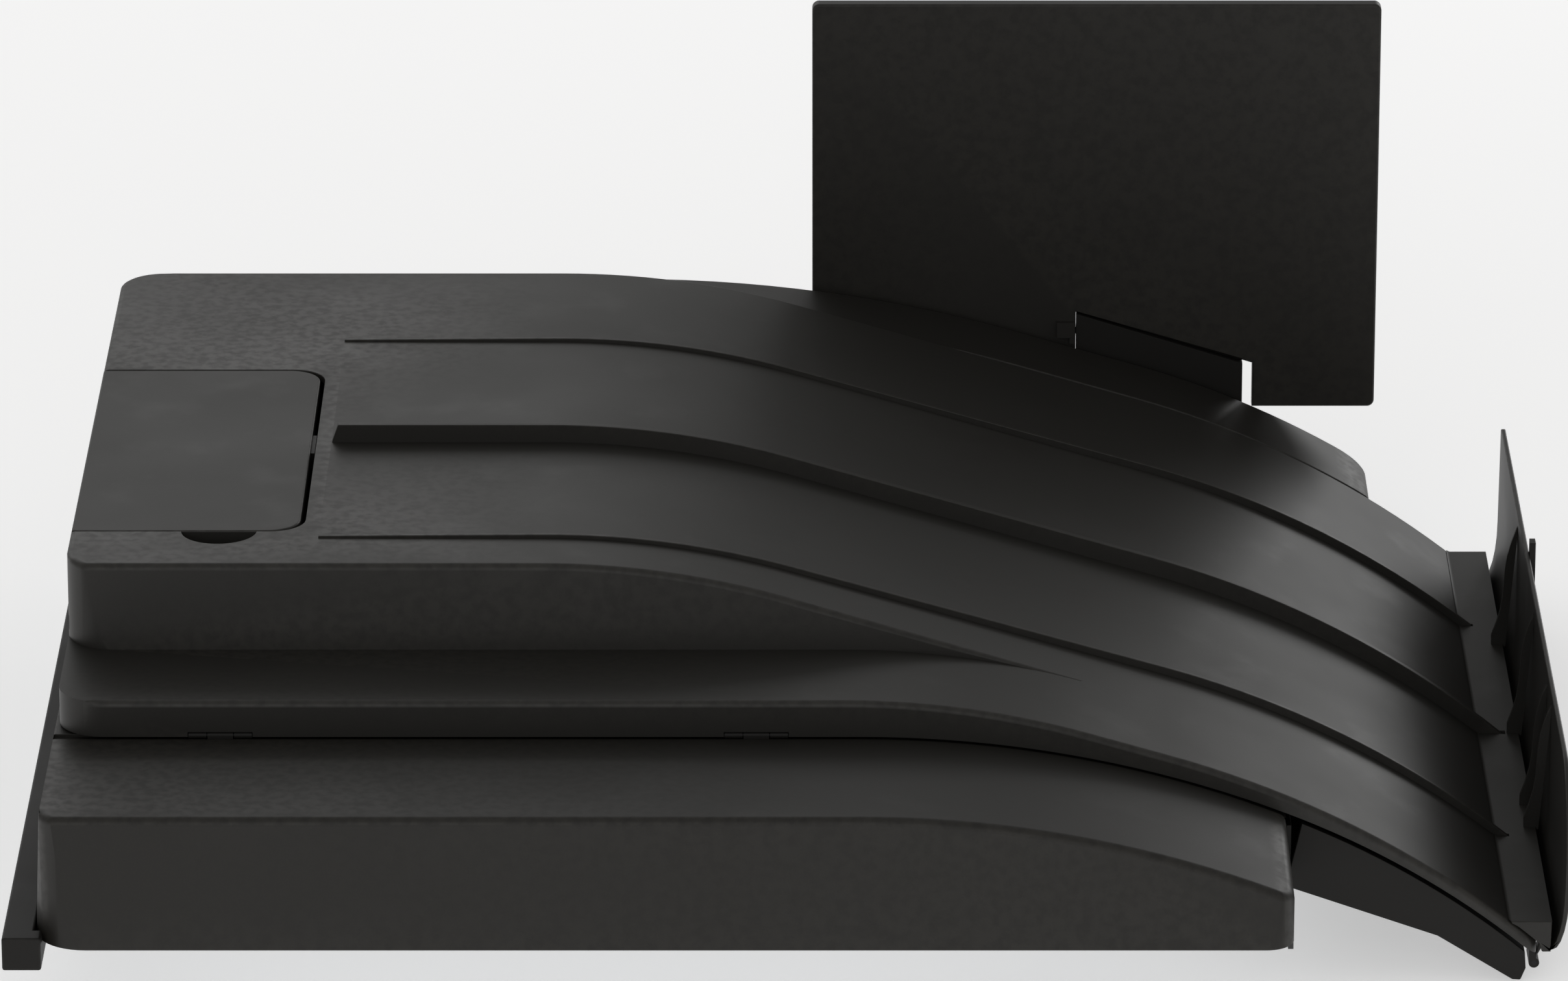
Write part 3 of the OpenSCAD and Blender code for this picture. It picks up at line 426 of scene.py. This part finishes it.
def roundedShell(node, name, look, weigh):
    bm = weldedCopy(node)
    markEdges(bm, weigh)
    mesh = bpy.data.meshes.new(name)
    bm.to_mesh(mesh)
    bm.free()
    piece = bpy.data.objects.new(name, mesh)
    bpy.context.scene.collection.objects.link(piece)
    rounding = piece.modifiers.new("rounding", "BEVEL")
    rounding.width = look["radius"]
    rounding.segments = look["segments"]
    rounding.limit_method = "WEIGHT"
    rounding.use_clamp_overlap = False
    rounding.offset_type = "OFFSET"
    rounding.profile = 0.5
    depsgraph = bpy.context.evaluated_depsgraph_get()
    made = bpy.data.meshes.new_from_object(piece.evaluated_get(depsgraph))
    piece.modifiers.clear()
    piece.data = made
    made.name = name
    tagRoundedEdges(made, look["radius"])
    made.materials.clear()
    made.materials.append(finishes[slotOf[node]])
    even = piece.modifiers.new("even", "WEIGHTED_NORMAL")
    even.keep_sharp = True
    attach(piece, nodes[node]["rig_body"])
    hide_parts(node)
    print("shell:", name, len(made.polygons), "faces")
    return piece


# Places below are in millimetres, and a shell's low and high are its box's corners
baseLook = {
    "radius": 3.2 * mm,
    "segments": 4,
    "rim": 6,               # width of the band along the outside that is rounded
    "corner": (22, 24),     # room of the near left corner
    "foot": 12,             # nothing is rounded below this height
    "inner": 0.1,
}
baseLow, baseHigh = (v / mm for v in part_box("base_shell"))


def weighBase(edge, at):
    if not isTopEdge(edge):
        return 0
    outside = min(at.x - baseLow.x, baseHigh.x - at.x, at.y - baseLow.y, baseHigh.y - at.y)
    cornerX, cornerY = baseLook["corner"]
    corner = at.x < baseLow.x + cornerX and at.y < baseLow.y + cornerY
    if outside < baseLook["rim"] or corner:
        return 1 if at.z > baseLook["foot"] else 0
    return baseLook["inner"]


lidLook = {
    "radius": 2.6 * mm,
    "segments": 4,
    "step": (20, 69),           # depth and top of the lower step
    "housingFoot": -132.2,      # near wall of the upper housing
    "housingFade": (170, 60),   # where the housing's edge has run out, and over what length
    "corner": (19, 20),
    "slot": (12, 62, 80),       # sheet entry: depth, low and high
    "farFade": (-60, 150),      # where the far edge starts to get sharper, and how slowly
    "inner": 0.12,
}
lidLow, lidHigh = (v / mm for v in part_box("lid_shell"))


def weighLid(edge, at):
    if not isTopEdge(edge):
        return 0
    slotDepth, slotLow, slotHigh = lidLook["slot"]
    atSlot = at.x < lidLow.x + slotDepth and slotLow < at.z < slotHigh
    if at.x > lidHigh.x - 1 or atSlot:
        return 0
    stepDepth, stepTop = lidLook["step"]
    if at.y < lidLow.y + stepDepth and at.z < stepTop:
        return 1
    foot = lidLook["housingFoot"]
    cornerX, cornerY = lidLook["corner"]
    atLeft = at.x < lidLow.x + cornerX
    if foot - 1 < at.y < foot + 4.5 or (atLeft and at.y < foot + cornerY):
        end, length = lidLook["housingFade"]
        return min(1, (end - at.x) / length)
    if at.y > lidHigh.y - 4 or (atLeft and at.y > lidHigh.y - cornerY):
        start, length = lidLook["farFade"]
        return 0.9 if at.x < start else max(0.2, 0.9 - (at.x - start) / length)
    if at.x < lidLow.x + 1 and at.z > 95:             # left edge of the deck
        return 0.9
    return lidLook["inner"]


consoleLook = {
    "radius": 2.6 * mm,
    "segments": 4,
    "button": (-200, 255),
    "buttonRoom": 9,
}
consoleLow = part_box("console_shell")[0] / mm


def weighConsole(edge, at):
    if not isTopEdge(edge):
        return 0
    if at.y < consoleLow.y + 1:
        return 0.3
    buttonX, buttonY = consoleLook["button"]
    room = consoleLook["buttonRoom"]
    atButton = abs(at.x - buttonX) < room and abs(at.y - buttonY) < room
    return 0.15 if atButton else 1


coverLook = {"radius": 0.8 * mm, "segments": 3}


def weighCover(edge, at):
    return 1 if isTopEdge(edge) else 0


stopLook = {"radius": 0.6 * mm, "segments": 3, "ribTop": 26, "nearEnd": 45}


# The wall's upper rim, and all of its near end
def weighStop(edge, at):
    return 1 if at.z > stopLook["ribTop"] or at.y < lidLow.y + stopLook["nearEnd"] else 0


displayLook = {"radius": 1.0 * mm, "segments": 3, "lug": (12, 72)}     # the lug's width and top
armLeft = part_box("display_arm")[0].x / mm
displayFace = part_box("display_board")[0].y / mm     # just behind the panel's outer face


def weighDisplay(edge, at):
    outer = [f for f in edge.link_faces if f.normal.y < -0.9]
    lugWidth, lugTop = displayLook["lug"]
    atLug = armLeft - lugWidth < at.x < armLeft + 1 and at.z < lugTop      # too close to round
    return 1 if outer and at.y < displayFace and not atLug else 0


railLook = {"radius": 1.0 * mm, "segments": 3}
bracketLook = {"radius": 0.5 * mm, "segments": 2}


def weighAll(edge, at):
    return 1


roundedShell("base_shell", "baseMoulding", baseLook, weighBase)
roundedShell("lid_shell", "lidMoulding", lidLook, weighLid)
roundedShell("console_shell", "consoleMoulding", consoleLook, weighConsole)
roundedShell("feeder_cover", "feederCoverPlate", coverLook, weighCover)
roundedShell("paper_stop", "stopWall", stopLook, weighStop)
roundedShell("display_back", "displayCase", displayLook, weighDisplay)
roundedShell("left_rail", "sideRail", railLook, weighAll)
roundedShell("tray_bracket", "trayBracket", bracketLook, weighAll)
print("stage: shells")

floorLook = {
    "size": 9.0,
    "below": 1.0 * mm,
    "colour": (0.93, 0.93, 0.93),
    "glow": 0.45,           # a lit white table
}


def makeFloor(look, lowest):
    bm = bmesh.new()
    bmesh.ops.create_grid(bm, x_segments=1, y_segments=1, size=look["size"])
    bmesh.ops.translate(bm, verts=bm.verts, vec=(0, 0, lowest - look["below"]))
    mesh = bpy.data.meshes.new("floor")
    bm.to_mesh(mesh)
    bm.free()
    g = Graph("paleFloor")
    tint = g.blend(g.noise(1.2, 2), shade(look["colour"], 0.985), shade(look["colour"], 1.0))
    mesh.materials.append(g.finish(Base_Color=tint, Roughness=0.9, Specular_IOR_Level=0.1,
                                   Emission_Color=(1, 1, 1, 1), Emission_Strength=look["glow"]))
    floor = bpy.data.objects.new("floor", mesh)
    bpy.context.scene.collection.objects.link(floor)


makeFloor(floorLook, cadBounds[0].z)
print("stage: floor")
